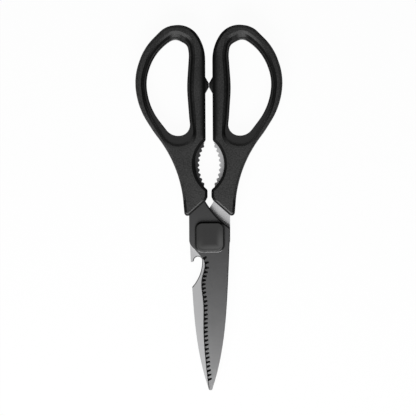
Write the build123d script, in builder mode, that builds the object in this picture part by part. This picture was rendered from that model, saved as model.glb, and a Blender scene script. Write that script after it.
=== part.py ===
from build123d import *
import os

# Kitchen shears, closed. X runs across them, Y from the blade tips to the finger loops and Z
# through their thickness. The origin is on the pivot axis, in the plane that they lie on.
# The rear half is the right handle with the blade that lies underneath, whose spine is on the
# left. The front half is the same blank turned over. Lengths are millimetres, and a name that
# ends in share or shares holds plain fractions of the sizes named beside it.

# Whole shears
HANDLE_THICK = 12.0
RUNNING_GAP = 0.1
OVERRUN = 1.0

# Blade blank: the blade below the pivot, and the flat shoulders beside it
TIP_REACH = 88.2
TAPER_DEPTH = 0.9
TAPER_START_SHARE = 0.1
SHOULDER_HALF = 11.8
SHOULDER_DROP = 1.6
BLADE_THICK = 2.6
THROAT_SIDE = 2.65
THROAT_TOP = 21.0
THROAT_LOW = 5.2
THROAT_SAG = 1.2
SPINE_BREAK = 0.45
# Shares of (SHOULDER_HALF, TIP_REACH) along the spine and the cutting edge, from the pivot
SPINE_SHARES = [(0.93, 0.16), (0.864, 0.336), (0.712, 0.596), (0.466, 0.806), (0.1, 0.987)]
CHOIL_SHARES = [(0.77, 0.075), (0.38, 0.134)]
EDGE_SHARES = [(0.254, 0.179), (0.398, 0.27), (0.35, 0.41), (0.33, 0.596), (0.237, 0.806)]
EDGE_END_SHARES = (0.093, 0.987)

# Tang and its toothed gripper edge. The shares place the tang's far side in the handle's neck
TANG_SHARES = [(0.032, 0.241), (0.142, 0.535), (0.415, 0.878)]
TANG_WALL = 3.2
TOOTH_INSET = 1.2
TOOTH_BAND = 1.85
TOOTH_COUNT = 9
TOOTH_SPAN_SHARE = 0.83
TOOTH_DEPTH = 1.0
TOOTH_WIDTH = 2.9
TOOTH_ROOT = 0.3
TOOTH_TIP = 0.6
ANCHOR_WIDTH = 3.6

# Serrations of the front blade
NOTCH_COUNT = 29
EDGE_LAND = 0.35
NOTCH_WIDTH = 2.1
NOTCH_DEPTH = 1.9
NOTCH_REACH = 2.6
NOTCH_SLANT_SHARE = 0.35
NOTCH_SPAN_SHARES = (0.06, 0.98)

# Bottle opener in the spine of the rear blade
OPENER_TOP = 11.3
OPENER_LENGTH = 18.0
OPENER_SIDE = 10.8
OPENER_ROOT = 4.4
OPENER_SAG = 1.7
HOOK_WIDTH = 4.8
HOOK_DEPTH = 2.2
PRONG_DROP = 3.1
PRONG_WIDTH = 2.3
OPENER_BREAK = 0.5

# Handles
FOOT_WALL = 2.4
FOOT_LOW = 10.2
FOOT_BEVEL = 1.0
NECK_GAP = 2.2
NECK_LOW = 22.9
GRIP_LOW = 27.25
GRIP_HEIGHT = 28.25
GRIP_SWELL = 8.55
LOOP_GAP = 4.1
HOLE_LOW = 57.8
HOLE_WIDTH = 24.9
HOLE_HEIGHT = 55.6
GRIP_WALL = 8.95
BOW_WALL = 6.3
CROWN_WALL = 8.4
CORNER_ROUND = 2.0
FOOT_ROUND = 1.9
EDGE_INSET = 1.6
EDGE_DROP = 1.1
SCOOP_DEPTH = 2.2
SCOOP_GRIP = 3.8
SCOOP_BOW = 3.2
SCOOP_CROWN = 5.2
SCOOP_HEEL = 8.3
SCOOP_SWELL = 2.0
LIP_BREAK = 0.6

# Stop buffers
BUFFER_REACH = 87.4
BUFFER_RADIUS = 4.8
BUFFER_FLAT = 1.2
BUFFER_GAP = 0.1
STEM_WIDTH = 3.6
STEM_LENGTH = 3.5

# Pivot
BEARING_RADIUS = 3.5
BEARING_FIT = 0.05
NECK_FLATS = 5.6
HEAD_RADIUS = 5.5
HEAD_HEIGHT = 1.4
SLOT_WIDTH = 1.2
SLOT_DEPTH = 0.7
THREAD_RADIUS = 2.5
THREAD_END_GAP = 0.3
NUT_RADIUS = 7.0
NUT_FLOOR = 0.8
NUT_FLATS = 12.2
SPRING_THICK = 0.6
SPRING_CLEAR = 0.2
SPRING_WIDTH = 1.8
SPRING_RIDE = 0.05

# Pivot cap
CAP_WIDTH = 17.0
CAP_LENGTH = 17.6
CAP_CORNER = 4.2
CAP_HEIGHT = 3.1
CAP_SLOPE = 1.0
CAP_SLOPE_HEIGHT = 1.7
CAP_RIM = 0.7
CAP_DISH = 0.2
CAP_CLEAR = 0.3
PEG_WIDTH = 1.8
PEG_LENGTH = 1.5
PEG_SPREAD = 6.1

# Levels and places that follow from the sizes above
CONTACT_LEVEL = HANDLE_THICK / 2
REAR_INNER = CONTACT_LEVEL - RUNNING_GAP / 2
REAR_OUTER = REAR_INNER - BLADE_THICK
FRONT_INNER = CONTACT_LEVEL + RUNNING_GAP / 2
FRONT_OUTER = FRONT_INNER + BLADE_THICK
HEAD_LEVEL = FRONT_OUTER + SPRING_THICK + SPRING_RIDE
NECK_SIDE = NECK_GAP / 2
LOOP_SIDE = LOOP_GAP / 2
FOOT_SIDE = SHOULDER_HALF + FOOT_WALL
HOLE_SIDE = LOOP_SIDE + GRIP_WALL
LOOP_SPREAD = HOLE_SIDE + HOLE_WIDTH + BOW_WALL
LOOP_TOP = HOLE_LOW + HOLE_HEIGHT + CROWN_WALL
GRIP_TOP = GRIP_LOW + GRIP_HEIGHT
GRIP_MID = GRIP_LOW + GRIP_HEIGHT / 2

# Corners of the handle's outline and their radii. The loop's, from its inner side round to the
# neck, are shares of a box round the loop above the hole's low end, and the neck's of a box
# between the foot and that level. A radius is a share of its box's width.
BOW_SHARES = [
    (0.0, 0.802, 0.634),
    (0.214, 1.016, 0.337),
    (0.571, 0.989, 0.326),
    (0.878, 0.797, 0.823),
    (1.017, 0.542, 0.859),
    (0.968, 0.265, 1.062),
    (0.741, 0.04, 1.524),
]
NECK_SHARES = [(0.195, 0.718, 2.544), (0.044, 0.302, 2.134)]
# Corners and radii of the finger hole, clockwise from its crown, in shares of a box round it
HOLE_SHARES = [
    (0.048, 0.952, 0.192),
    (0.343, 1.023, 0.239),
    (0.8, 0.887, 1.167),
    (1.021, 0.597, 1.054),
    (0.947, 0.305, 1.476),
    (0.424, 0.0, 0.337),
    (-0.032, 0.022, 0.253),
    (0.014, 0.176, 1.013),
    (0.068, 0.507, 2.993),
    (0.015, 0.846, 0.739),
]
# How far the scoop's rim lies past each of those corners, in shares of its four widths, and the
# share of that way at which its floor begins
SCOOP_SHARES = [
    (-0.68, 0.84, 0.3),
    (0.1, 1.0, 0.26),
    (0.8, 0.48, 0.33),
    (1.0, 0.0, 0.41),
    (0.9, -0.18, 0.41),
    (0.47, -1.0, 0.67),
    (-0.84, -0.78, 0.62),
    (-1.0, 0.0, 0.36),
    (-1.0, 0.0, 0.36),
    (-1.0, 0.1, 0.36),
]
# The scoop's rings from its rim to its floor: shares of the way out from the floor, and of the depth
RING_SHARES = [(1.0, 0.0), (0.5, 0.3), (0.0, 1.0)]


def spread(shares, corner, size):
    """Corners and radii at the given shares of a box that starts at a corner."""
    return [(corner[0] + x * size[0], corner[1] + y * size[1], radius * size[0]) for x, y, radius in shares]


def ring_corners(outward):
    """The hole's corners pushed out to the scoop's floor, at 0, or as far as its rim, at 1."""
    pushed = []
    for (x, y, radius), (push_x, push_y, floor_share) in zip(hole_corners, SCOOP_SHARES):
        way = floor_share + outward * (1 - floor_share)
        reach_x = SCOOP_BOW if push_x > 0 else SCOOP_GRIP
        reach_y = SCOOP_CROWN if push_y > 0 else SCOOP_HEEL
        pushed.append((x + way * push_x * reach_x, y + way * push_y * reach_y, radius + way * SCOOP_SWELL))
    return pushed


def rounded_line(corners, start=(), end=(), close=False):
    """Straight runs between corners that are rounded to their own radii."""
    points = [(x, y) for x, y, radius in corners]
    return FilletPolyline(*start, *points, *end, radius=[radius for x, y, radius in corners], close=close)


def blade_point(shares, side):
    """A point of the blade below the pivot: side is -1 for the spine, 1 for the edge."""
    return (side * shares[0] * SHOULDER_HALF, -shares[1] * TIP_REACH)


neck_size = (LOOP_SPREAD - FOOT_SIDE, HOLE_LOW - FOOT_LOW)
neck_corners = spread(NECK_SHARES, (FOOT_SIDE, FOOT_LOW), neck_size)
bow_corners = spread(BOW_SHARES, (LOOP_SIDE, HOLE_LOW), (LOOP_SPREAD - LOOP_SIDE, LOOP_TOP - HOLE_LOW))
hole_corners = spread(HOLE_SHARES, (HOLE_SIDE, HOLE_LOW), (HOLE_WIDTH, HOLE_HEIGHT))

# One gripper tooth, pointing to -X from the edge that it stands on
with BuildSketch() as tooth:
    Polygon(
        (TOOTH_ROOT, -TOOTH_WIDTH / 2),
        (TOOTH_ROOT, TOOTH_WIDTH / 2),
        (0, TOOTH_WIDTH / 2),
        (-TOOTH_DEPTH, TOOTH_TIP / 2),
        (-TOOTH_DEPTH, -TOOTH_TIP / 2),
        (0, -TOOTH_WIDTH / 2),
        align=None,
    )

# Blade blank with its tang, as it lies in the rear half
with BuildPart() as blade_blank:
    with BuildSketch(Plane.XY.offset(REAR_OUTER)):
        with BuildLine():
            throat = SagittaArc((THROAT_SIDE, THROAT_TOP), (-SHOULDER_HALF, THROAT_LOW), THROAT_SAG)
            spine = Spline(throat @ 1, *[blade_point(shares, -1) for shares in SPINE_SHARES])
            tip = ThreePointArc(spine @ 1, (0, -TIP_REACH), blade_point(EDGE_END_SHARES, 1))
            choil_points = [blade_point(shares, 1) for shares in CHOIL_SHARES]
            edge_points = [blade_point(shares, 1) for shares in EDGE_SHARES]
            cutting_edge = Spline(tip @ 1, *reversed(edge_points), choil_points[-1])
            choil = Spline(
                cutting_edge @ 1,
                choil_points[0],
                (SHOULDER_HALF, -SHOULDER_DROP),
                tangents=[(1, 1), (0, 1)],
            )
            shoulder = Line(choil @ 1, (SHOULDER_HALF, FOOT_LOW + FOOT_WALL))
            tang_side = Polyline(
                shoulder @ 1,
                *[
                    (FOOT_SIDE + x * neck_size[0] - TANG_WALL, FOOT_LOW + y * neck_size[1])
                    for x, y in TANG_SHARES
                ],
            )
            tooth_arc = ThreePointArc(
                (THROAT_SIDE, GRIP_TOP - TOOTH_INSET),
                (GRIP_SWELL - TOOTH_BAND, GRIP_MID),
                (THROAT_SIDE, GRIP_LOW + TOOTH_INSET),
            )
            Line(tang_side @ 1, tooth_arc @ 0)
            Line(tooth_arc @ 1, throat @ 0)
        make_face()
        tooth_span = TOOTH_SPAN_SHARE * 2 * (tooth_arc % 0).get_angle(Vector(0, -1))
        with Locations(tooth_arc.arc_center):
            with PolarLocations(
                tooth_arc.radius,
                TOOTH_COUNT,
                start_angle=-tooth_span / 2,
                angular_range=tooth_span,
                endpoint=True,
            ):
                add(tooth.sketch)
        with Locations(
            ((THROAT_SIDE + SHOULDER_HALF) / 2, GRIP_LOW - ANCHOR_WIDTH / 2),
            (GRIP_SWELL + ANCHOR_WIDTH, GRIP_MID),
        ):
            Rectangle(ANCHOR_WIDTH, ANCHOR_WIDTH, mode=Mode.SUBTRACT)
    extrude(amount=BLADE_THICK)
    spine_edge = blade_blank.edges().sort_by_distance((-SHOULDER_HALF, -TIP_REACH / 2, REAR_OUTER))[0]
    chamfer(spine_edge, SPINE_BREAK)
    # The outer face falls away to a thinner tip, along an arc that leaves it smoothly
    with BuildSketch(Plane.YZ.offset(-SHOULDER_HALF - OVERRUN)):
        with BuildLine():
            taper_start = (-TAPER_START_SHARE * TIP_REACH, REAR_OUTER)
            taper_end = (-TIP_REACH - OVERRUN, REAR_OUTER + TAPER_DEPTH)
            TangentArc(taper_start, taper_end, tangent=(-1, 0))
            Polyline(
                taper_end,
                (taper_end[0], REAR_OUTER - OVERRUN),
                (taper_start[0], REAR_OUTER - OVERRUN),
                taper_start,
            )
        make_face()
    extrude(amount=2 * (SHOULDER_HALF + OVERRUN), mode=Mode.SUBTRACT)
blade_blank.part.label = "blade_blank"

# Rear blade: flatted hole that holds the screw still, and the bottle opener
with BuildPart() as rear_blade:
    add(blade_blank.part)
    with BuildSketch(Plane.XY.offset(REAR_OUTER)):
        Circle(BEARING_RADIUS)
        Rectangle(NECK_FLATS, 2 * BEARING_RADIUS, mode=Mode.INTERSECT)
    extrude(amount=BLADE_THICK, mode=Mode.SUBTRACT)
    with BuildSketch(Plane.XY.offset(REAR_OUTER - OVERRUN)):
        with BuildLine():
            hook_level = -OPENER_TOP - HOOK_DEPTH
            hook = ThreePointArc(
                (-OPENER_ROOT - HOOK_WIDTH, hook_level),
                (-OPENER_ROOT - HOOK_WIDTH / 2, -OPENER_TOP),
                (-OPENER_ROOT, hook_level),
            )
            cam_level = -OPENER_TOP - OPENER_LENGTH
            root = SagittaArc(hook @ 1, (-OPENER_SIDE, cam_level), OPENER_SAG)
            prong = ThreePointArc(
                hook @ 0,
                (-OPENER_ROOT - HOOK_WIDTH - PRONG_WIDTH / 2, -OPENER_TOP - PRONG_DROP),
                (-OPENER_ROOT - HOOK_WIDTH - PRONG_WIDTH, hook_level),
            )
            Polyline(
                root @ 1,
                (-SHOULDER_HALF - OVERRUN, cam_level),
                (-SHOULDER_HALF - OVERRUN, hook_level),
                prong @ 1,
            )
        make_face()
    extrude(amount=BLADE_THICK + 2 * OVERRUN, mode=Mode.SUBTRACT)
    root_mid = root @ 0.5
    chamfer(rear_blade.edges().sort_by_distance((root_mid.X, root_mid.Y, REAR_INNER))[0], OPENER_BREAK)
rear_blade.part.label = "rear_blade"

# Front blade: the blank turned over, with a running bore, sockets for the cap's pegs and the
# serrations, which are V-grooves cut across the edge from a narrow land at its inner face,
# rising inwards and slanting forward
notch_planes = []
for index in range(NOTCH_COUNT):
    first, last = NOTCH_SPAN_SHARES
    share = first + (last - first) * index / (NOTCH_COUNT - 1)
    point = cutting_edge @ share
    along = cutting_edge % share
    flipped_along = Vector(-along.X, along.Y, 0)
    inward = flipped_along.cross(Vector(0, 0, 1)).normalized()
    climb = inward * NOTCH_REACH + Vector(0, 0, BLADE_THICK - EDGE_LAND)
    climb = climb + flipped_along * (NOTCH_SLANT_SHARE * NOTCH_REACH)
    floor_start = Vector(-point.X, point.Y, FRONT_INNER + EDGE_LAND)
    origin = floor_start - climb.normalized() * OVERRUN
    notch_planes.append(Plane(origin=origin, x_dir=flipped_along, z_dir=climb))

with BuildPart() as front_blade:
    add(blade_blank.part.rotate(Axis((0, 0, CONTACT_LEVEL), (0, 1, 0)), 180))
    with BuildSketch(Plane.XY.offset(FRONT_INNER)):
        Circle(BEARING_RADIUS + BEARING_FIT)
    extrude(amount=BLADE_THICK, mode=Mode.SUBTRACT)
    with BuildSketch(Plane.XY.offset(FRONT_OUTER)):
        with Locations((PEG_SPREAD, PEG_SPREAD), (-PEG_SPREAD, -PEG_SPREAD)):
            Rectangle(PEG_WIDTH, PEG_WIDTH)
    extrude(amount=-PEG_LENGTH, mode=Mode.SUBTRACT)
    with BuildSketch(*notch_planes):
        Polygon((0, 0), (NOTCH_WIDTH / 2, NOTCH_DEPTH), (-NOTCH_WIDTH / 2, NOTCH_DEPTH), align=None)
    extrude(amount=NOTCH_REACH + BLADE_THICK + 2 * OVERRUN, mode=Mode.SUBTRACT)
front_blade.part.label = "front_blade"

# Right stop buffer: a soft button with a flat nose, its square stem in the handle's inner wall
with BuildPart() as right_buffer:
    for button_level, button_radius in [(BUFFER_GAP / 2, BUFFER_FLAT), (LOOP_SIDE, BUFFER_RADIUS)]:
        with BuildSketch(Plane.YZ.offset(button_level)):
            with Locations((BUFFER_REACH, CONTACT_LEVEL)):
                Circle(button_radius)
    loft()
    with BuildSketch(Plane.YZ.offset(LOOP_SIDE)):
        with Locations((BUFFER_REACH, CONTACT_LEVEL)):
            Rectangle(STEM_WIDTH, STEM_WIDTH)
    extrude(amount=STEM_LENGTH)
right_buffer.part.label = "right_buffer"

with BuildPart() as left_buffer:
    mirror(right_buffer.part, about=Plane.YZ)
left_buffer.part.label = "left_buffer"

# Handle moulding: its upper half with the scooped finger hole, then mirrored at the middle
with BuildPart() as handle_blank:
    with BuildSketch(Plane.XY.offset(CONTACT_LEVEL)) as handle_outline:
        with BuildLine():
            foot_end = Line((FOOT_SIDE, FOOT_LOW), (NECK_SIDE + FOOT_BEVEL, THROAT_TOP))
            neck = Polyline(foot_end @ 1, (NECK_SIDE, NECK_LOW), (NECK_SIDE, GRIP_LOW))
            grip = ThreePointArc(neck @ 1, (GRIP_SWELL, GRIP_MID), (LOOP_SIDE, GRIP_TOP))
            rounded_line(bow_corners + neck_corners, start=[grip @ 1], end=[foot_end @ 0])
        make_face()
        lips = handle_outline.vertices().filter_by(lambda v: v.X < LOOP_GAP and v.Y < HOLE_LOW)
        fillet(lips, CORNER_ROUND)
        fillet(handle_outline.vertices().sort_by(Axis.Y)[0], FOOT_ROUND)
    extrude(amount=CONTACT_LEVEL)
    handle_top = handle_blank.faces().sort_by(Axis.Z)[-1]
    chamfer(handle_top.edges(), length=EDGE_INSET, length2=EDGE_DROP, reference=handle_top)
    # The scoop sinks in steps through its rings to a floor round the finger hole
    for outward_share, depth_share in RING_SHARES:
        with BuildSketch(Plane.XY.offset(HANDLE_THICK - depth_share * SCOOP_DEPTH)):
            with BuildLine():
                rounded_line(ring_corners(outward_share), close=True)
            make_face()
    loft(ruled=True, mode=Mode.SUBTRACT)
    floor_level = HANDLE_THICK - SCOOP_DEPTH
    with BuildSketch(Plane.XY.offset(floor_level)):
        with BuildLine():
            rounded_line(hole_corners, close=True)
        make_face()
    extrude(amount=CONTACT_LEVEL - floor_level, mode=Mode.SUBTRACT)
    flat_faces = handle_blank.faces().filter_by(Axis.Z)
    scoop_floor = flat_faces.filter_by_position(Axis.Z, floor_level, floor_level)[0]
    chamfer(scoop_floor.inner_wires()[0].edges(), LIP_BREAK)
    mirror(about=Plane.XY.offset(CONTACT_LEVEL))
handle_blank.part.label = "handle_blank"

with BuildPart() as right_handle:
    add(handle_blank.part)
    add(rear_blade.part, mode=Mode.SUBTRACT)
    add(right_buffer.part, mode=Mode.SUBTRACT)
right_handle.part.label = "right_handle"

with BuildPart() as left_handle:
    mirror(handle_blank.part, about=Plane.YZ)
    add(front_blade.part, mode=Mode.SUBTRACT)
    add(left_buffer.part, mode=Mode.SUBTRACT)
left_handle.part.label = "left_handle"

# Pivot screw: slotted head, bearing, flatted neck and threaded end
with BuildPart() as pivot_screw:
    with BuildSketch(Plane.XY.offset(HEAD_LEVEL)):
        Circle(HEAD_RADIUS)
    extrude(amount=HEAD_HEIGHT)
    with BuildSketch(Plane.XY.offset(HEAD_LEVEL + HEAD_HEIGHT)):
        Rectangle(2 * HEAD_RADIUS, SLOT_WIDTH)
    extrude(amount=-SLOT_DEPTH, mode=Mode.SUBTRACT)
    with BuildSketch(Plane.XY.offset(REAR_INNER)):
        Circle(BEARING_RADIUS)
    extrude(amount=HEAD_LEVEL - REAR_INNER)
    with BuildSketch(Plane.XY.offset(REAR_OUTER)):
        Circle(BEARING_RADIUS)
        Rectangle(NECK_FLATS, 2 * BEARING_RADIUS, mode=Mode.INTERSECT)
    extrude(amount=BLADE_THICK)
    with BuildSketch(Plane.XY.offset(NUT_FLOOR + THREAD_END_GAP)):
        Circle(THREAD_RADIUS)
    extrude(amount=REAR_OUTER - NUT_FLOOR - THREAD_END_GAP)
pivot_screw.part.label = "pivot_screw"

# Pivot nut: a closed nut with two spanner flats, its face in the plane that the shears rest on
with BuildPart() as pivot_nut:
    with BuildSketch():
        Circle(NUT_RADIUS)
        Rectangle(NUT_FLATS, 2 * NUT_RADIUS, mode=Mode.INTERSECT)
    extrude(amount=REAR_OUTER)
    with BuildSketch(Plane.XY.offset(NUT_FLOOR)):
        Circle(THREAD_RADIUS)
    extrude(amount=REAR_OUTER - NUT_FLOOR, mode=Mode.SUBTRACT)
pivot_nut.part.label = "pivot_nut"

# Spring washer: a thin ring, pressed flat under the screw's head, that holds the blades together
with BuildPart() as spring_washer:
    with BuildSketch(Plane.XY.offset(FRONT_OUTER)):
        Circle(BEARING_RADIUS + SPRING_CLEAR + SPRING_WIDTH)
        Circle(BEARING_RADIUS + SPRING_CLEAR, mode=Mode.SUBTRACT)
    extrude(amount=SPRING_THICK)
spring_washer.part.label = "spring_washer"

# Pivot cap: a rounded square with sloped sides and a slightly sunk, bare face, over the head
with BuildPart() as pivot_cap:
    with BuildSketch(Plane.XY.offset(FRONT_OUTER)):
        RectangleRounded(CAP_WIDTH, CAP_LENGTH, CAP_CORNER)
    extrude(amount=CAP_HEIGHT)
    cap_top = pivot_cap.faces().sort_by(Axis.Z)[-1]
    chamfer(cap_top.edges(), length=CAP_SLOPE, length2=CAP_SLOPE_HEIGHT, reference=cap_top)
    with BuildSketch(Plane.XY.offset(FRONT_OUTER + CAP_HEIGHT)):
        pad_inset = CAP_SLOPE + CAP_RIM
        RectangleRounded(CAP_WIDTH - 2 * pad_inset, CAP_LENGTH - 2 * pad_inset, CAP_CORNER - pad_inset)
    extrude(amount=-CAP_DISH, mode=Mode.SUBTRACT)
    with BuildSketch(Plane.XY.offset(FRONT_OUTER)):
        Circle(HEAD_RADIUS + CAP_CLEAR)
    extrude(amount=HEAD_LEVEL + HEAD_HEIGHT + CAP_CLEAR - FRONT_OUTER, mode=Mode.SUBTRACT)
    with BuildSketch(Plane.XY.offset(FRONT_OUTER)):
        with Locations((PEG_SPREAD, PEG_SPREAD), (-PEG_SPREAD, -PEG_SPREAD)):
            Rectangle(PEG_WIDTH, PEG_WIDTH)
    extrude(amount=-PEG_LENGTH)
pivot_cap.part.label = "pivot_cap"

os.makedirs("parts", exist_ok=True)
export_step(rear_blade.part, "parts/rear_blade.step")
export_step(front_blade.part, "parts/front_blade.step")
export_step(right_handle.part, "parts/right_handle.step")
export_step(left_handle.part, "parts/left_handle.step")
export_step(right_buffer.part, "parts/right_buffer.step")
export_step(left_buffer.part, "parts/left_buffer.step")
export_step(pivot_screw.part, "parts/pivot_screw.step")
export_step(pivot_nut.part, "parts/pivot_nut.step")
export_step(spring_washer.part, "parts/spring_washer.step")
export_step(pivot_cap.part, "parts/pivot_cap.step")
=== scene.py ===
import math

import bmesh
import bpy
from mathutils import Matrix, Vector


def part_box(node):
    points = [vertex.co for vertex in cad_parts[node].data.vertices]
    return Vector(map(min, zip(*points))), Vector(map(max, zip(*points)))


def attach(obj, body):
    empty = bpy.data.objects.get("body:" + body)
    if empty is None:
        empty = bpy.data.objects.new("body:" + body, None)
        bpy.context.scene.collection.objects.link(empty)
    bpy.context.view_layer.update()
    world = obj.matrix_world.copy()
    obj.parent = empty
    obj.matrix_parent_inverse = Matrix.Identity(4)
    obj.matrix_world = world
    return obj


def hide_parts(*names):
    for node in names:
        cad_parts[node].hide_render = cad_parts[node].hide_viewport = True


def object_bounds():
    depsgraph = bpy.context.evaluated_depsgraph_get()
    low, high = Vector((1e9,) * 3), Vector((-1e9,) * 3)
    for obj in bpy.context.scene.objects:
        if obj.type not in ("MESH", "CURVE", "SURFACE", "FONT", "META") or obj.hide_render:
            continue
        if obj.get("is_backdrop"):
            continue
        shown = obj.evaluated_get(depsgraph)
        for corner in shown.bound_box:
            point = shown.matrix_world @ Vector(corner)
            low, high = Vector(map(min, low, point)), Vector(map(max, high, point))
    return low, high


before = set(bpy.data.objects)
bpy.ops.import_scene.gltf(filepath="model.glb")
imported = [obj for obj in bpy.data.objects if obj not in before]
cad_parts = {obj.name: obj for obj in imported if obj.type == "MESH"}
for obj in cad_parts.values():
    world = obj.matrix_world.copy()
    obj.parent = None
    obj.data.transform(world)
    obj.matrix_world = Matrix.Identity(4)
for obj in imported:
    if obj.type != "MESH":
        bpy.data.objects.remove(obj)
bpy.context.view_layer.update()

# Kitchen shears, closed, seen from straight above: black moulded handles with a fine grain,
# ground and polished blades, a bare pivot cap and soft stop buttons. Everything is in metres.

bl_info = {
    "name": "Kitchen Shears",
    "version": (1, 0, 0),
    "blender": (4, 5, 0),
    "location": "View3D > Sidebar > Shears",
    "description": "Finishes and stage for a pair of kitchen shears",
    "category": "Object",
}

MM = 0.001

# The finishes follow places, leans and tones. A pair of lengths or leans is where a fade starts
# and ends. A lean is a part of the surface's normal, between 0 and 1, and a depth is measured
# down from a piece's top. A tone multiplies a piece's own colour.

# Handles
LOOP_CENTRE = (22 * MM, 86 * MM)
SCOOP_FADE = (0.0, 1 * MM)
GRIPPER_SIDE = (9.9 * MM, 10.9 * MM)
GAP_START = (20.4 * MM, 21.6 * MM)
GAP_LEAN = (0.1, 0.3)
SLOPE_LEAN = (0.8, 0.97)
HEEL_LEAN = (0.1, 0.5)
SHADED_SCOOP_LEAN = (0.12, 0.4)
FLOOR_LEAN = (0.9, 0.98)
FLOOR_DEPTH = (2.15 * MM, 2.0 * MM)
FLOOR_END = (98 * MM, 106 * MM)
INSIDE_SIDE = (3.0 * MM, 6.2 * MM)
INSIDE_START = (56 * MM, 59 * MM)
INSIDE_END = (104 * MM, 112 * MM)
BEVEL_LEAN = (0.4, 0.7)
FOOT_LEAN = (0.2, 0.4)
FOOT_END = (20 * MM, 23 * MM)
FOOT_LINE_DEPTH = (0.6 * MM, 0.35 * MM)
OUTER_LEAN = (0.3, 0.5)
OUTER_DEPTH = (1.1 * MM, 0.7 * MM)
OUTER_START = (20 * MM, 24 * MM)
BOW_SIDE = (36 * MM, 38 * MM)
GRAIN_FADE = (0.38, 0.64)
GRAIN_TONES = (0.45, 1.8)
# Tones of painted shade on the recessed flats, painted highlights on the edges and painted light on
# the heels
RECESS_SHADE_TONE = 0.45
EDGE_HIGHLIGHT_TONE = 4.5
HEEL_LIGHT_TONE = 3.6
CLOUD_GRAINS = 16
PORE_GRAINS = 0.5
# Shares of dull black that paint shade on the slopes, the loops' tops and the foot's bevel
SLOPE_SHADE_SHARE = 0.9
INSIDE_SHADE_SHARE = 0.95
FOOT_SHADE_SHARE = 0.85

# Pivot cap
PAD_HALF = (6.8 * MM, 7.1 * MM)
PAD_CORNER = 2.5 * MM
FLANK_LEAN = (0.7, 0.95)
LOWER_LEAN = (0.4, 0.8)
LIT_LEAN = (0.2, 0.4)
LIT_DEPTH = (1.5 * MM, 1.2 * MM)
LIP_FADE = (-3.6 * MM, -0.8 * MM)
LIP_SKEW = 0.6
LIP_SPAN = (-4 * MM, 8 * MM)
FACE_TONES = (0.85, 1.25)
# The lip's tones and the grey paint highlights, and the share paints shade on the flanks
LIP_HIGHLIGHT_TONES = (1.1, 3.0)
FLANK_HIGHLIGHT_GREY = 0.35
FLANK_SHADE_SHARE = 0.85

# Blades
CONTACT_FADE = (0.35 * MM, 0.6 * MM)
FACE_LEAN = (0.9, 0.99)
TIPWARD = (-20 * MM, 88 * MM)
BELOW_PIVOT = (-20 * MM, 40 * MM)
OUTER_TONES = (0.88, 1.12)
INNER_TONES = (0.9, 1.1)
THROAT_TONE = 1.5
THROAT_CENTRE = (39.37 * MM, 44.92 * MM)
THROAT_RADIUS = 48.35 * MM
THROAT_LINE = (0.6 * MM, 1.1 * MM)
THROAT_ABOVE = 1 * MM
THROAT_SHADOW_SHARE = 0.95
EDGE_BEVEL_LEAN = ((0.28, 0.3), (0.33, 0.35))
HOLLOW_LEAN = ((0.1, 0.2), (0.86, 0.96))
REAR_ABOVE = (0.03 * MM, 0.07 * MM)
REAR_LEAN = (0.4, 0.6)
# Greys of the dull black that paints shade in the hollows and on the edge bevels
HOLLOW_SHADE_GREY = 0.004
BEVEL_SHADE_GREY = 0.045

# How far along the blades their cutting edges run, and how far past it the cutters reach
EDGE_SPAN = (-87.1 * MM, -11.7 * MM)
EDGE_PAST = 4 * MM
WEDGE_PAST = 0.3 * MM
CUTTER_UNDER = 1 * MM
CUTTER_OVER = 3 * MM
BEVEL_RUNOUT = 5 * MM
# Where the blades thin towards the tip, and by how much
TAPER_SPAN = (8.8 * MM, 89.2 * MM)
TAPER_DEPTH = 0.9 * MM
# The troughs that the serrations end in
TROUGH_REACH = 2.5 * MM
TROUGH_SLANT = 0.8 * MM
TROUGH_FLOOR = 0.9 * MM
TROUGH_TOP = 2.1 * MM
TROUGH_DEPTH = 1.9 * MM
# How near a packed vertex lies to a level that it is on, and how near two that are one
ON_LEVEL = 0.01 * MM
SAME_SPOT = 0.0001 * MM
# Decimal places, in metres, that vertices of one edge are told apart by
EDGE_PLACES = 6
TROUGH_PLACES = 5
SHARP_ANGLE = math.radians(25)

# A blade's node, its body, and the side that its cutting edge is on
BLADES = (("rear_blade", "rear_half", 1), ("front_blade", "front_half", -1))

# Stage
FLOOR_REACH = 4.0
FLOOR_GAP = 0.02 * MM
FLOOR_GREY = 0.9
FLOOR_SEEN_WHITE = 0.96
KEY_LAMP = ("key_softbox", (-0.08, -0.34, 0.42), (0.6, 0.3), 3.6)
LOW_LAMP = ("low_strip", (0.0, -0.75, 0.28), (0.8, 0.12), 1.2)
SKY_GREY = 0.5
SKY_STRENGTH = 0.24
CLIP_END = 20.0


# Shader building


class Socket:
    """An output socket that takes part in Python expressions by adding Math nodes."""

    def __init__(self, shader, socket):
        self.shader = shader
        self.socket = socket

    def math(self, operation, *others):
        return self.shader.node(
            "ShaderNodeMath", {"operation": operation}, dict(enumerate([self, *others]))
        )

    def __add__(self, other):
        return self.math("ADD", other)

    def __radd__(self, other):
        return self.math("ADD", other)

    def __sub__(self, other):
        return self.math("SUBTRACT", other)

    def __rsub__(self, other):
        return self.shader.node("ShaderNodeMath", {"operation": "SUBTRACT"}, {0: other, 1: self})

    def __mul__(self, other):
        return self.math("MULTIPLY", other)

    def __truediv__(self, other):
        return self.math("DIVIDE", other)

    def __pow__(self, other):
        return self.math("POWER", other)

    def __abs__(self):
        return self.math("ABSOLUTE")

    def most(self, other):
        return self.math("MAXIMUM", other)

    def least(self, other):
        return self.math("MINIMUM", other)

    def ramp(self, low, high, smooth=True):
        """0 below low, 1 above high and an even climb between them."""
        settings = {"interpolation_type": "SMOOTHSTEP" if smooth else "LINEAR"}
        values = {0: self, 1: low, 2: high, 3: 0.0, 4: 1.0}
        return self.shader.node("ShaderNodeMapRange", settings, values)

    def under(self, top, depths):
        """A ramp that climbs between two depths below a piece's top."""
        return self.ramp(top - depths[0], top - depths[1])

    def band(self, rise, fall):
        """A ramp that climbs over one pair of values and falls over another."""
        return self.ramp(*rise) * (1 - self.ramp(*fall))


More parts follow.
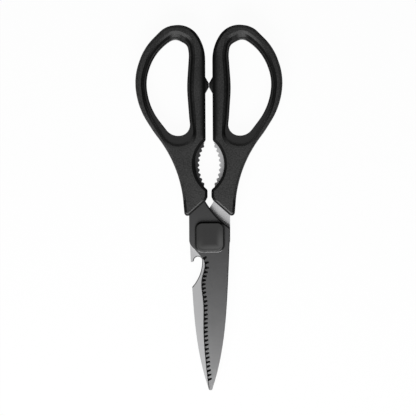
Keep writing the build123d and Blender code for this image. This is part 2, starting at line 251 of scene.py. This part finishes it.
class Shader:
    """One material's node tree, with one method that adds any node."""

    def __init__(self, name):
        self.material = bpy.data.materials.new(name)
        self.material.use_nodes = True
        self.tree = self.material.node_tree
        self.tree.nodes.clear()

    def node(self, kind, settings=None, values=None, output=0):
        made = self.tree.nodes.new(kind)
        for key, value in (settings or {}).items():
            setattr(made, key, value)
        for key, value in (values or {}).items():
            self.feed(made.inputs[key], value)
        return Socket(self, made.outputs[output])

    def feed(self, target, value):
        if isinstance(value, Socket):
            self.tree.links.new(value.socket, target)
        else:
            target.default_value = value

    def parts(self, vector):
        """A vector's three parts."""
        split = self.tree.nodes.new("ShaderNodeSeparateXYZ")
        self.tree.links.new(vector.socket, split.inputs[0])
        return [Socket(self, part) for part in split.outputs]

    def place(self):
        """Object coordinates, and their three parts."""
        spot = self.node("ShaderNodeTexCoord", output="Object")
        return spot, self.parts(spot)

    def facing(self):
        """The surface normal's three parts, along the piece's own axes."""
        normal = self.node("ShaderNodeNewGeometry", output="Normal")
        turn = {"vector_type": "NORMAL", "convert_from": "WORLD", "convert_to": "OBJECT"}
        return self.parts(self.node("ShaderNodeVectorTransform", turn, {0: normal}))

    def noise(self, spot, scale, detail=2.0, stretch=(1.0, 1.0, 1.0)):
        """Noise between 0 and 1, drawn out along an axis by a small stretch there."""
        drawn = self.node("ShaderNodeMapping", None, {"Vector": spot, "Scale": stretch})
        values = {"Vector": drawn, "Scale": scale, "Detail": detail}
        return self.node("ShaderNodeTexNoise", None, values)

    def mix(self, factor, low, high):
        made = self.tree.nodes.new("ShaderNodeMix")
        made.data_type = "RGBA"
        self.feed(made.inputs[0], factor)
        self.feed(made.inputs[6], low)
        self.feed(made.inputs[7], high)
        return Socket(self, made.outputs[2])

    def bump(self, height, strength, distance):
        values = {"Height": height, "Strength": strength, "Distance": distance}
        return self.node("ShaderNodeBump", None, values)

    def principled(self, **values):
        """The Principled shader with its sockets by name."""
        named = {key.replace("_", " "): value for key, value in values.items()}
        return self.node("ShaderNodeBsdfPrincipled", None, named)

    def dull(self, colour):
        """A matte surface that reflects almost nothing, blended in to paint shade."""
        return self.principled(Base_Color=colour, Roughness=0.7, Specular_IOR_Level=0.1)

    def blend(self, factor, low, high):
        return self.node("ShaderNodeMixShader", None, {0: factor, 1: low, 2: high})

    def finish(self, look):
        """The material, with the given shader joined to its output."""
        output = self.tree.nodes.new("ShaderNodeOutputMaterial")
        self.tree.links.new(look.socket, output.inputs[0])
        return self.material


def grey(value):
    return (value, value, value, 1.0)


def shade(colour, by):
    return (*[part * by for part in colour], 1.0)


def shades(colour, tones):
    """A darker and a lighter shade of a colour."""
    return [shade(colour, tone) for tone in tones]


# Finishes


def handle_plastic(sizes):
    """Black moulded plastic with a fine spark-eroded grain, with painted shade in its hollows and its
    gap, and painted light and highlights on its heels and edges.
    """
    shader = Shader("handle_plastic")
    spot, (across, along, up) = shader.place()
    tilt_x, tilt_y, tilt_z = shader.facing()
    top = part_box("left_handle")[1].z
    slope = 1 - abs(tilt_z).ramp(*SLOPE_LEAN)
    bevel = slope * tilt_z.ramp(*BEVEL_LEAN)
    # Which slopes lean into the finger hole, and which into the gap between the handles
    outward = tilt_x * across / abs(across)
    from_loop = outward * (abs(across) - LOOP_CENTRE[0]) + tilt_y * (along - LOOP_CENTRE[1])
    scoop = (0 - from_loop).ramp(*SCOOP_FADE)
    gap = (0 - outward).ramp(*GAP_LEAN) * (1 - abs(across).ramp(*GRIPPER_SIDE))
    gap = gap * along.ramp(*GAP_START)
    # Scoop slopes that face away from the lamp get painted light, a lighter tone that offsets their
    # shade
    heel = scoop * tilt_y.ramp(*HEEL_LEAN)
    # Slopes into the hole's sides and into the gap get painted shade, blended towards dull black
    # below
    slope_shade = slope * (scoop * abs(tilt_x).ramp(*SHADED_SCOOP_LEAN) * (1 - heel)).most(gap)
    # Flats deeper than about 2 mm below the top are painted darker, painted shade in the recesses
    floor = (1 - up.under(top, FLOOR_DEPTH)) * abs(tilt_z).ramp(*FLOOR_LEAN)
    floor = floor * (1 - along.ramp(*FLOOR_END))
    # The loops' tops are painted darker towards the gap between them, painted shade that stands in
    # for a rounding there
    inside = (1 - abs(across).ramp(*INSIDE_SIDE)) * along.band(INSIDE_START, INSIDE_END)
    # The foot's bevel gets a painted highlight along its upper line and painted shade below it
    foot = bevel * (0 - tilt_y).ramp(*FOOT_LEAN) * (1 - along.ramp(*FOOT_END))
    foot_line = up.under(top, FOOT_LINE_DEPTH)
    # The outer outline gets a painted highlight where its bevel meets the side
    pale = bevel * outward.ramp(*OUTER_LEAN) * (1 - up.under(top, OUTER_DEPTH))
    pale = pale * along.ramp(*OUTER_START) * (1 - scoop * (1 - abs(across).ramp(*BOW_SIDE)))
    speckle = shader.noise(spot, 1 / sizes.grain, detail=3.0)
    cloud = shader.noise(spot, 1 / (sizes.grain * CLOUD_GRAINS))
    pores = shader.noise(spot, 1 / (sizes.grain * PORE_GRAINS))
    tint = (speckle * 0.75 + cloud * 0.25).ramp(*GRAIN_FADE)
    colour = shader.mix(tint, *shades(sizes.plastic, GRAIN_TONES))
    colour = shader.mix(floor, colour, shade(sizes.plastic, RECESS_SHADE_TONE))
    colour = shader.mix(foot * foot_line, colour, shade(sizes.plastic, EDGE_HIGHLIGHT_TONE))
    colour = shader.mix(pale, colour, shade(sizes.plastic, EDGE_HIGHLIGHT_TONE))
    colour = shader.mix(heel, colour, shade(sizes.plastic, HEEL_LIGHT_TONE))
    plastic = shader.principled(
        Base_Color=colour,
        Roughness=0.5 + speckle * 0.1 - slope * 0.08,
        Normal=shader.bump(pores * 0.6 + speckle * 0.4, 0.35, sizes.grain * 0.2),
    )
    foot_shade = foot * (1 - foot_line) * FOOT_SHADE_SHARE
    # Painted shade: these masks blend the plastic towards dull black
    painted_shade = (slope_shade * SLOPE_SHADE_SHARE).most(inside * INSIDE_SHADE_SHARE).most(foot_shade)
    return shader.finish(shader.blend(painted_shade, plastic, shader.dull(grey(0.003))))


def cap_plastic(sizes):
    """The pivot cap's plastic, a little smoother than the handles', with a lip round its pad, painted
    highlights on that lip and on the flank facing the tips, and painted shade on its other flanks.
    """
    shader = Shader("cap_plastic")
    spot, (across, along, up) = shader.place()
    tilt_x, tilt_y, tilt_z = shader.facing()
    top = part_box("pivot_cap")[1].z
    flank = 1 - abs(tilt_z).ramp(*FLANK_LEAN)
    lower = (0 - tilt_y).ramp(*LOWER_LEAN)
    # The flank facing the tips gets a painted highlight along its lower part
    flank_highlight = flank * lower * abs(tilt_z).ramp(*LIT_LEAN) * (1 - up.under(top, LIT_DEPTH))
    # The distance from the pad's outline, a rounded rectangle, less than 0 inside it
    beside = abs(across) - (PAD_HALF[0] - PAD_CORNER)
    beyond = abs(along) - (PAD_HALF[1] - PAD_CORNER)
    past_corner = (beside.most(0.0) ** 2 + beyond.most(0.0) ** 2) ** 0.5
    from_pad = past_corner + beside.most(beyond).least(0.0) - PAD_CORNER
    speckle = shader.noise(spot, 1 / (sizes.grain * 0.6))
    cloud = shader.noise(spot, 1 / (sizes.grain * 9))
    face = shader.mix(speckle * 0.5 + cloud * 0.5, *shades(sizes.cap, FACE_TONES))
    # The lip round the pad is painted lighter, a painted highlight that brightens towards the tips
    # and the right
    towards = (across * LIP_SKEW - along).ramp(*LIP_SPAN)
    lip = shader.mix(towards, *shades(sizes.cap, LIP_HIGHLIGHT_TONES))
    colour = shader.mix(from_pad.ramp(*LIP_FADE), face, lip)
    colour = shader.mix(flank, colour, shade(sizes.cap, 1.0))
    satin = shader.principled(
        Base_Color=shader.mix(flank_highlight, colour, grey(FLANK_HIGHLIGHT_GREY)),
        Roughness=0.36 + speckle * 0.12,
        Normal=shader.bump(speckle, 0.2, sizes.grain * 0.1),
    )
    # Flanks that face away from the tips get painted shade, blended towards dull black
    painted_shade = flank * (1 - lower) * FLANK_SHADE_SHARE
    return shader.finish(shader.blend(painted_shade, satin, shader.dull(grey(0.003))))


def buffer_rubber(sizes):
    """Soft matte rubber with a dusty bloom."""
    shader = Shader("buffer_rubber")
    spot = shader.place()[0]
    bloom = shader.noise(spot, 1 / (sizes.grain * 3), detail=4.0)
    rubber = shader.principled(
        Base_Color=shader.mix(bloom, grey(0.012), grey(0.03)),
        Roughness=0.62 + bloom * 0.2,
        Normal=shader.bump(bloom, 0.25, sizes.grain * 0.2),
    )
    return shader.finish(rubber)


def blade_steel(sizes):
    """Steel, polished outside and ground bright on its inner faces, with a painted reflection on the
    outer faces and painted shade in its hollows, on its bevels and along the edge of its throat.
    """
    shader = Shader("blade_steel")
    spot, (across, along, up) = shader.place()
    tilt_z = abs(shader.facing()[2])
    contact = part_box("rear_blade")[1].z
    inner = (1 - abs(up - contact).ramp(*CONTACT_FADE)) * tilt_z.ramp(*FACE_LEAN)
    grinding = shader.noise(spot, 1 / (0.12 * MM), stretch=(0.06, 1.0, 1.0))
    polishing = shader.noise(spot, 1 / (0.1 * MM), stretch=(0.03, 1.0, 0.3))
    cloud = shader.noise(spot, 1 / (9 * MM), detail=3.0)
    # The outer faces are painted darker over the pivot and lighter towards the tip, a painted
    # reflection
    tipward = (0 - along).ramp(*TIPWARD, smooth=False)
    dim, bright = [
        shader.mix(tipward, shade(sizes.shoulder_reflection_steel, tone), shade(sizes.tip_reflection_steel, tone))
        for tone in OUTER_TONES
    ]
    outer_colour = shader.mix(polishing * 0.6 + cloud * 0.4, dim, bright)
    ground = shader.mix(grinding * 0.7 + cloud * 0.3, *shades(sizes.inner_steel, INNER_TONES))
    below_pivot = (0 - along).ramp(*BELOW_PIVOT)
    inner_colour = shader.mix(below_pivot, shade(sizes.inner_steel, THROAT_TONE), ground)
    # A painted shadow line follows the throat's edge on the outer face
    throat_x, throat_y = across - THROAT_CENTRE[0], along - THROAT_CENTRE[1]
    from_throat = (throat_x * throat_x + throat_y * throat_y) ** 0.5 - THROAT_RADIUS
    throat = (1 - abs(from_throat).ramp(*THROAT_LINE)) * (1 - inner)
    throat = throat * up.ramp(contact, contact + THROAT_ABOVE)
    polished = shader.principled(
        Base_Color=shader.mix(inner, outer_colour, inner_colour),
        Metallic=1.0,
        Roughness=0.3 + polishing * 0.08 + inner * (0.2 + grinding * 0.14),
        Normal=shader.bump(polishing * 0.3 + inner * grinding, 0.18, 0.02 * MM),
    )
    # The rear blade's broken edges, such as the opener's, get no painted shade and stay bright
    rear = 1 - up.ramp(contact + REAR_ABOVE[0], contact + REAR_ABOVE[1])
    hollow = tilt_z.band(*HOLLOW_LEAN) * (1 - rear * tilt_z.ramp(*REAR_LEAN))
    # The bevel of a cutting edge gets lighter painted shade than the hollows of its serrations
    edge_bevel = tilt_z.band(*EDGE_BEVEL_LEAN)
    dull = shader.dull(shader.mix(edge_bevel, grey(HOLLOW_SHADE_GREY), grey(BEVEL_SHADE_GREY)))
    return shader.finish(shader.blend(hollow.most(throat * THROAT_SHADOW_SHARE), polished, dull))


def pivot_steel():
    """Turned steel with rings round the pivot's axis."""
    shader = Shader("pivot_steel")
    spot, (across, along, up) = shader.place()
    radius = (across * across + along * along) ** 0.5
    flat = shader.node("ShaderNodeCombineXYZ", None, {0: radius, 1: up, 2: 0.0})
    rings = shader.noise(flat, 1 / (0.15 * MM))
    cloud = shader.noise(spot, 1 / (3 * MM))
    turned = shader.principled(
        Base_Color=shader.mix(rings * 0.6 + cloud * 0.4, grey(0.38), grey(0.55)),
        Metallic=1.0,
        Roughness=0.28 + rings * 0.16,
        Normal=shader.bump(rings, 0.3, 0.02 * MM),
    )
    return shader.finish(turned)


def floor_white():
    """A pale floor, seen as white but for the object's shadow, and open from below."""
    shader = Shader("floor_white")
    diffuse = shader.node("ShaderNodeBsdfDiffuse", None, {"Color": grey(FLOOR_GREY)})
    white = shader.node("ShaderNodeEmission", None, {"Color": grey(1.0), "Strength": 1.0})
    rays = shader.tree.nodes.new("ShaderNodeLightPath")
    camera, glossy, through = [
        Socket(shader, rays.outputs[name])
        for name in ("Is Camera Ray", "Is Glossy Ray", "Is Transmission Ray")
    ]
    lit = shader.blend(camera.most(glossy).most(through) * FLOOR_SEEN_WHITE, diffuse, white)
    under = shader.node("ShaderNodeNewGeometry", output="Backfacing")
    return shader.finish(shader.blend(under, lit, shader.node("ShaderNodeBsdfTransparent")))


# Helpers


def dress(mesh, material):
    """Gives a mesh one finish in every slot."""
    mesh.materials.clear()
    mesh.materials.append(material)


def dress_nodes(material, *nodes):
    for node in nodes:
        dress(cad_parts[node].data, material)


def add_object(name, data):
    made = bpy.data.objects.new(name, data)
    bpy.context.collection.objects.link(made)
    return made


def area_lamp(name, place, size, power, target):
    light = bpy.data.lights.new(name, "AREA")
    light.shape = "RECTANGLE"
    light.size, light.size_y = size
    light.energy = power
    lamp = add_object(name, light)
    lamp.location = place
    lamp.rotation_euler = (Vector(target) - Vector(place)).to_track_quat("-Z", "Y").to_euler()


# Ground blades


def edge_spots(node, side, level, places):
    """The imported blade's vertices at one level of its cutting edge, from the choil to the tip."""
    spots = set()
    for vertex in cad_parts[node].data.vertices:
        x, y, z = vertex.co
        if abs(z - level) < ON_LEVEL and side * x > 0 and EDGE_SPAN[0] < y < EDGE_SPAN[1]:
            spots.add((round(x, places), round(y, places)))
    if len(spots) < 2:
        raise RuntimeError("No cutting edge was found on " + node)
    return sorted(spots, key=lambda spot: -spot[1])


def edge_path():
    """The rear blade's cutting edge on its inner face, from the choil to past the tip."""
    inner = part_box("rear_blade")[1].z
    path = [Vector(spot) for spot in edge_spots("rear_blade", 1, inner, EDGE_PLACES)]
    return [*path, path[-1] + (path[-1] - path[-2]).normalized() * EDGE_PAST]


def close_prism(mesh, rings):
    """Walls between rings of vertices, and a face at each end."""
    for ring, after in zip(rings, rings[1:]):
        for index in range(len(ring)):
            turn = (index + 1) % len(ring)
            mesh.faces.new((ring[index], ring[turn], after[turn], after[index]))
    mesh.faces.new(rings[0])
    mesh.faces.new(rings[-1])


def solid_from(mesh, name):
    """An object made of a bmesh whose faces are turned outwards."""
    bmesh.ops.recalc_face_normals(mesh, faces=mesh.faces)
    data = bpy.data.meshes.new(name)
    mesh.to_mesh(data)
    mesh.free()
    return add_object(name, data)


def bevel_cutter(sizes, side, inner, outer):
    """A wedge swept along the cutting edge of the blade on the given side."""
    path = edge_path()
    lift = 1 if inner > outer else -1
    slope = (abs(inner - outer) - sizes.edge_land) / sizes.bevel_width
    mesh = bmesh.new()
    rings = []
    for index, spot in enumerate(path):
        before, after = path[max(index - 1, 0)], path[min(index + 1, len(path) - 1)]
        along = (after - before).normalized()
        away = Vector((-along.y, along.x))
        # The bevel runs out towards the choil
        fade = max(0.0, 1 - (path[0] - spot).length / BEVEL_RUNOUT) * sizes.bevel_width
        section = [
            (fade + WEDGE_PAST, inner - lift * (sizes.edge_land - WEDGE_PAST * slope)),
            (fade - sizes.bevel_width - CUTTER_UNDER / slope, outer - lift * CUTTER_UNDER),
            (fade + WEDGE_PAST, outer - lift * CUTTER_UNDER),
        ]
        ring = []
        for out, level in section:
            x, y = spot.x + away.x * out, spot.y + away.y * out
            ring.append(mesh.verts.new((side * x, y, level)))
        rings.append(ring)
    close_prism(mesh, rings)
    return solid_from(mesh, "wedge")


def trough_cutter(sizes, inner, outer):
    """Flat-floored troughs along the front blade's V-shaped serrations. They rise to the outer
    face wherever the blade thins, so that they keep their size towards the tip."""
    low = inner + sizes.edge_land
    path = [Vector((-spot.x, spot.y)) for spot in edge_path()]
    section = (
        (-TROUGH_FLOOR / 2, 0.0),
        (TROUGH_FLOOR / 2, 0.0),
        (TROUGH_TOP / 2, TROUGH_DEPTH),
        (-TROUGH_TOP / 2, TROUGH_DEPTH),
    )
    mesh = bmesh.new()
    for x, y in reversed(edge_spots("front_blade", -1, low, TROUGH_PLACES)):
        start = Vector((x, y))
        steps = zip(path, path[1:])
        nearest = min(steps, key=lambda step: ((step[0] + step[1]) / 2 - start).length)
        along = (nearest[0] - nearest[1]).normalized().to_3d()
        share = max(0.0, (-y - TAPER_SPAN[0]) / (TAPER_SPAN[1] - TAPER_SPAN[0]))
        rise = outer - TAPER_DEPTH * share * share - low
        inward = along.cross(Vector((0, 0, 1)))
        climb = inward * TROUGH_REACH + Vector((0, 0, rise)) + along * TROUGH_SLANT
        ways = (-CUTTER_UNDER, climb.length + CUTTER_OVER)
        climb = climb.normalized()
        wide = (along - climb * along.dot(climb)).normalized()
        deep = climb.cross(wide)
        rings = []
        for way in ways:
            middle = Vector((x, y, low)) + climb * way
            corners = [middle + wide * half + deep * height for half, height in section]
            rings.append([mesh.verts.new(corner) for corner in corners])
        close_prism(mesh, rings)
    return solid_from(mesh, "troughs")


def ground_blade(node, body, side):
    """A copy of a packed blade, ground along its cutting edge, which stands for it."""
    sizes = bpy.context.scene.shears_finish
    low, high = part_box(node)
    inner, outer = (high.z, low.z) if side > 0 else (low.z, high.z)
    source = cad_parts[node].data.copy()
    given_normals = source.attributes.get("custom_normal")
    if given_normals:
        source.attributes.remove(given_normals)
    mesh = bmesh.new()
    mesh.from_mesh(source)
    bmesh.ops.remove_doubles(mesh, verts=mesh.verts, dist=SAME_SPOT)
    mesh.to_mesh(source)
    mesh.free()
    blank = add_object("blank", source)
    cutters = [bevel_cutter(sizes, side, inner, outer)]
    if node == "front_blade":
        cutters.append(trough_cutter(sizes, inner, outer))
    for cutter in cutters:
        cut = blank.modifiers.new(cutter.name, "BOOLEAN")
        cut.operation = "DIFFERENCE"
        cut.solver = "EXACT"
        cut.object = cutter
    depsgraph = bpy.context.evaluated_depsgraph_get()
    data = bpy.data.meshes.new_from_object(blank.evaluated_get(depsgraph))
    for spare in (blank, *cutters):
        bpy.data.objects.remove(spare)
    if not data.polygons:
        raise RuntimeError("Grinding left nothing of " + node)
    data.polygons.foreach_set("use_smooth", [True] * len(data.polygons))
    data.set_sharp_from_angle(angle=SHARP_ANGLE)
    data.name = node + "_ground"
    blade = add_object(node + "_ground", data)
    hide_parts(node)
    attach(blade, body)
    return blade


# Sizes and colours that a user would change


class ShearsFinish(bpy.types.PropertyGroup):
    """Colours and grain of the shears."""

    plastic: bpy.props.FloatVectorProperty(
        name="Handle Plastic",
        description="Colour of the handle mouldings",
        subtype="COLOR",
        min=0.0,
        max=1.0,
        default=(0.02, 0.02, 0.02),
    )
    cap: bpy.props.FloatVectorProperty(
        name="Cap Plastic",
        description="Colour of the pivot cap",
        subtype="COLOR",
        min=0.0,
        max=1.0,
        default=(0.025, 0.025, 0.025),
    )
    # The outer faces run from the shoulder colour to the tip colour, a painted reflection
    shoulder_reflection_steel: bpy.props.FloatVectorProperty(
        name="Shoulder Steel",
        description="Colour of the blades' polished outer faces beside the pivot",
        subtype="COLOR",
        min=0.0,
        max=1.0,
        default=(0.16, 0.16, 0.162),
    )
    tip_reflection_steel: bpy.props.FloatVectorProperty(
        name="Polished Steel",
        description="Colour of the blades' polished outer faces at the tip",
        subtype="COLOR",
        min=0.0,
        max=1.0,
        default=(0.32, 0.32, 0.323),
    )
    inner_steel: bpy.props.FloatVectorProperty(
        name="Ground Steel",
        description="Colour of the blades' ground inner faces",
        subtype="COLOR",
        min=0.0,
        max=1.0,
        default=(0.45, 0.45, 0.455),
    )
    grain: bpy.props.FloatProperty(
        name="Grain",
        description="Size of the moulded grain",
        unit="LENGTH",
        min=0.05 * MM,
        max=2 * MM,
        precision=6,
        default=0.8 * MM,
    )


    bevel_width: bpy.props.FloatProperty(
        name="Bevel Width",
        description="Width of the bevel along each cutting edge, seen from above",
        unit="LENGTH",
        min=0.1 * MM,
        max=2 * MM,
        precision=6,
        default=0.75 * MM,
    )
    edge_land: bpy.props.FloatProperty(
        name="Edge Land",
        description="Height of the square land that the bevel leaves at the inner face",
        unit="LENGTH",
        min=0.05 * MM,
        max=1 * MM,
        precision=6,
        default=0.35 * MM,
    )


class ShearsStage(bpy.types.PropertyGroup):
    """Camera and lamps."""

    frame_width: bpy.props.FloatProperty(
        name="Frame Width",
        description="Width that the picture covers at the shears",
        unit="LENGTH",
        default=239.3 * MM,
    )
    camera_height: bpy.props.FloatProperty(
        name="Camera Height",
        description="Height of the camera over the shears",
        unit="LENGTH",
        default=1.5,
    )
    camera_turn: bpy.props.FloatProperty(
        name="Camera Turn",
        description="Turn of the picture about the line of sight",
        subtype="ANGLE",
        default=math.radians(-0.31),
    )
    aim: bpy.props.FloatVectorProperty(
        name="Aim",
        description="Point at the picture's middle",
        subtype="XYZ",
        unit="LENGTH",
        default=(-0.9 * MM, 16.7 * MM, 8.0 * MM),
    )


# Operators


class SHEARS_OT_handles(bpy.types.Operator):
    """Finish the two handle mouldings"""

    bl_idname = "shears.handles"
    bl_label = "Handles"

    def execute(self, context):
        dress_nodes(handle_plastic(context.scene.shears_finish), "left_handle", "right_handle")
        return {"FINISHED"}


class SHEARS_OT_buffers(bpy.types.Operator):
    """Finish the two stop buttons between the finger loops"""

    bl_idname = "shears.buffers"
    bl_label = "Stop Buttons"

    def execute(self, context):
        dress_nodes(buffer_rubber(context.scene.shears_finish), "left_buffer", "right_buffer")
        return {"FINISHED"}


class SHEARS_OT_blades(bpy.types.Operator):
    """Grind a bevel along both cutting edges, and finish the blades"""

    bl_idname = "shears.blades"
    bl_label = "Blades"

    def execute(self, context):
        material = blade_steel(context.scene.shears_finish)
        for node, body, side in BLADES:
            dress_nodes(material, node)
            dress(ground_blade(node, body, side).data, material)
        return {"FINISHED"}


class SHEARS_OT_pivot(bpy.types.Operator):
    """Finish the pivot's screw, nut, spring washer and cap"""

    bl_idname = "shears.pivot"
    bl_label = "Pivot"

    def execute(self, context):
        dress_nodes(pivot_steel(), "pivot_screw", "pivot_nut", "spring_washer")
        dress_nodes(cap_plastic(context.scene.shears_finish), "pivot_cap")
        return {"FINISHED"}


class SHEARS_OT_stage(bpy.types.Operator):
    """Set the pale floor, the studio lamps and the camera over the shears"""

    bl_idname = "shears.stage"
    bl_label = "Stage"

    def execute(self, context):
        stage = context.scene.shears_stage
        low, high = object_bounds()
        level = low.z - FLOOR_GAP
        mesh = bpy.data.meshes.new("floor")
        signs = ((-1, -1), (1, -1), (1, 1), (-1, 1))
        corners = [(x * FLOOR_REACH, y * FLOOR_REACH, level) for x, y in signs]
        mesh.from_pydata(corners, [], [range(4)])
        dress(mesh, floor_white())
        floor = add_object("floor", mesh)
        floor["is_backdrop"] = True

        aim = Vector(stage.aim)
        for lamp in (KEY_LAMP, LOW_LAMP):
            area_lamp(*lamp, aim)

        world = bpy.data.worlds.new("studio")
        world.use_nodes = True
        sky = world.node_tree.nodes["Background"].inputs
        sky["Color"].default_value = grey(SKY_GREY)
        sky["Strength"].default_value = SKY_STRENGTH
        context.scene.world = world

        lens = bpy.data.cameras.new("camera")
        lens.lens = lens.sensor_width * (stage.camera_height - aim.z) / stage.frame_width
        lens.clip_end = CLIP_END
        camera = add_object("camera", lens)
        camera.location = (aim.x, aim.y, stage.camera_height)
        camera.rotation_euler = (0.0, 0.0, stage.camera_turn)
        context.scene.camera = camera
        context.scene.view_settings.view_transform = "Standard"
        return {"FINISHED"}


OPERATORS = [SHEARS_OT_handles, SHEARS_OT_buffers, SHEARS_OT_blades, SHEARS_OT_pivot, SHEARS_OT_stage]


class SHEARS_PT_panel(bpy.types.Panel):
    """Lists the shears' pieces, sizes and colours in the sidebar"""

    bl_idname = "SHEARS_PT_panel"
    bl_label = "Kitchen Shears"
    bl_space_type = "VIEW_3D"
    bl_region_type = "UI"
    bl_category = "Shears"

    def draw(self, context):
        layout = self.layout
        for group in (context.scene.shears_finish, context.scene.shears_stage):
            column = layout.column()
            for name in group.__annotations__:
                column.prop(group, name)
        for operator in OPERATORS:
            layout.operator(operator.bl_idname)


CLASSES = [ShearsFinish, ShearsStage, *OPERATORS, SHEARS_PT_panel]


def register():
    for each in CLASSES:
        bpy.utils.register_class(each)
    bpy.types.Scene.shears_finish = bpy.props.PointerProperty(type=ShearsFinish)
    bpy.types.Scene.shears_stage = bpy.props.PointerProperty(type=ShearsStage)


def unregister():
    del bpy.types.Scene.shears_stage
    del bpy.types.Scene.shears_finish
    for each in reversed(CLASSES):
        bpy.utils.unregister_class(each)


def main():
    """Builds the scene."""
    register()
    bpy.ops.shears.handles()
    bpy.ops.shears.buffers()
    bpy.ops.shears.blades()
    bpy.ops.shears.pivot()
    bpy.ops.shears.stage()


if __name__ == "__main__":
    main()
